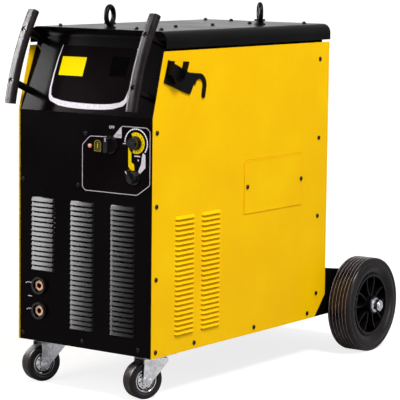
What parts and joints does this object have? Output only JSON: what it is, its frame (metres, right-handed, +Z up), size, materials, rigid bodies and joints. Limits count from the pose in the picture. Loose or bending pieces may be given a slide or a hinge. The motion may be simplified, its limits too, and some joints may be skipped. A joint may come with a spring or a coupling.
{
  "type": "wheeled welding power source",
  "caption": "Wheeled arc-welding power source: louvred sheet-metal cabinet with a leaning bezel, twin grips, step switches, output sockets, torch holder and a gas-bottle shelf at the back.",
  "frame": {"origin": "middle of the whole machine's footprint, on the floor", "axes": "+Z up, front with the controls toward -Y, torch holder side toward +X"},
  "size_m": [0.6146, 1.0594, 0.928],
  "materials": {
    "yellow_paint": "satin",
    "black_gloss_paint": "gloss",
    "black_satin_paint": "satin",
    "overlay_film": "gloss",
    "dark_window": "gloss",
    "grip_plastic": "matte",
    "black_screws": "satin",
    "black_plastic": "satin",
    "switch_plastic": "matte",
    "lamp_lens": "gloss",
    "copper": "satin",
    "zinc": "satin",
    "tyre_rubber": "matte",
    "hub_plastic": "satin",
    "core_steel": "matte",
    "winding": "satin",
    "heatsink_aluminium": "satin",
    "diode_metal": "satin",
    "motor_paint": "satin",
    "fan_plastic": "matte",
    "board_laminate": "satin"
  },
  "bodies": {
    "cabinet": {"base_tray": "black_satin_paint", "inner_frame": "black_satin_paint", "side_panel_left": "yellow_paint", "side_panel_right": "yellow_paint", "top_cover": "black_satin_paint", "front_panel": "black_gloss_paint", "rear_panel": "black_gloss_paint", "bezel": "black_gloss_paint", "bezel_overlay": "overlay_film", "display_window": "dark_window", "control_label": "overlay_film", "access_plate": "yellow_paint", "torch_holder": "black_satin_paint", "handle_grips": "grip_plastic", "handle_arms": "black_satin_paint", "handle_screws": "black_screws", "lifting_eyes": "black_satin_paint", "side_screws": "black_screws", "case_screws": "black_screws", "main_switch_body": "switch_plastic", "fine_selector_body": "switch_plastic", "range_selector_body": "switch_plastic", "power_lamp": "lamp_lens", "output_sockets": "copper", "socket_collars": "black_plastic", "wheel_bracket_left": "black_satin_paint", "wheel_bracket_right": "black_satin_paint", "bottle_shelf": "black_satin_paint", "bottle_cradle": "black_satin_paint", "rear_axle": "zinc", "axle_nuts": "zinc", "caster_plates": "zinc", "transformer_core": "core_steel", "transformer_coils": "winding", "choke_core": "core_steel", "choke_coil": "winding", "rectifier_heatsink": "heatsink_aluminium", "rectifier_diodes": "diode_metal", "fan_ring": "black_satin_paint", "fan_motor": "motor_paint", "contactor": "switch_plastic", "control_transformer": "core_steel", "control_board": "board_laminate", "cable_gland": "black_plastic"},
    "main_switch": {"main_switch_knob": "black_plastic"},
    "fine_selector": {"fine_selector_knob": "black_plastic"},
    "range_selector": {"range_selector_knob": "black_plastic"},
    "rear_wheel_left": {"rear_tyre_left": "tyre_rubber", "rear_hub_left": "hub_plastic"},
    "rear_wheel_right": {"rear_tyre_right": "tyre_rubber", "rear_hub_right": "hub_plastic"},
    "caster_left": {"caster_fork_left": "zinc", "caster_bolt_left": "zinc"},
    "caster_wheel_left": {"caster_rim_left": "zinc", "caster_tyre_left": "tyre_rubber"},
    "caster_right": {"caster_fork_right": "zinc", "caster_bolt_right": "zinc"},
    "caster_wheel_right": {"caster_rim_right": "zinc", "caster_tyre_right": "tyre_rubber"},
    "fan": {"fan_rotor": "fan_plastic"}
  },
  "joints": [
    {"name": "main_switch_turn", "type": "hinge", "parent": "cabinet", "child": "main_switch", "pos_m": [0.08, -0.47126, 0.604], "axis": [0, 1, 0], "range_deg": [0, 45]},
    {"name": "fine_selector_turn", "type": "hinge", "parent": "cabinet", "child": "fine_selector", "pos_m": [0.153, -0.47126, 0.612], "axis": [0, 1, 0], "range_deg": [0, 270]},
    {"name": "range_selector_turn", "type": "hinge", "parent": "cabinet", "child": "range_selector", "pos_m": [0.15, -0.47126, 0.531], "axis": [0, 1, 0], "range_deg": [0, 60]},
    {"name": "rear_roll_left", "type": "hinge", "parent": "cabinet", "child": "rear_wheel_left", "pos_m": [-0.2487, 0.40474, 0.125], "axis": [1, 0, 0], "continuous": true},
    {"name": "rear_roll_right", "type": "hinge", "parent": "cabinet", "child": "rear_wheel_right", "pos_m": [0.2487, 0.40474, 0.125], "axis": [1, 0, 0], "continuous": true},
    {"name": "caster_swivel_left", "type": "hinge", "parent": "cabinet", "child": "caster_left", "pos_m": [-0.158, -0.39326, 0.095], "axis": [0, 0, 1], "continuous": true},
    {"name": "caster_roll_left", "type": "hinge", "parent": "caster_left", "child": "caster_wheel_left", "pos_m": [-0.16895, -0.42333, 0.0455], "axis": [0.9397, -0.342, 0], "continuous": true},
    {"name": "caster_swivel_right", "type": "hinge", "parent": "cabinet", "child": "caster_right", "pos_m": [0.158, -0.39326, 0.095], "axis": [0, 0, 1], "continuous": true},
    {"name": "caster_roll_right", "type": "hinge", "parent": "caster_right", "child": "caster_wheel_right", "pos_m": [0.14705, -0.42333, 0.0455], "axis": [0.9397, -0.342, 0], "continuous": true},
    {"name": "fan_spin", "type": "hinge", "parent": "cabinet", "child": "fan", "pos_m": [0, 0.15974, 0.28], "axis": [0, 1, 0], "continuous": true}
  ]
}
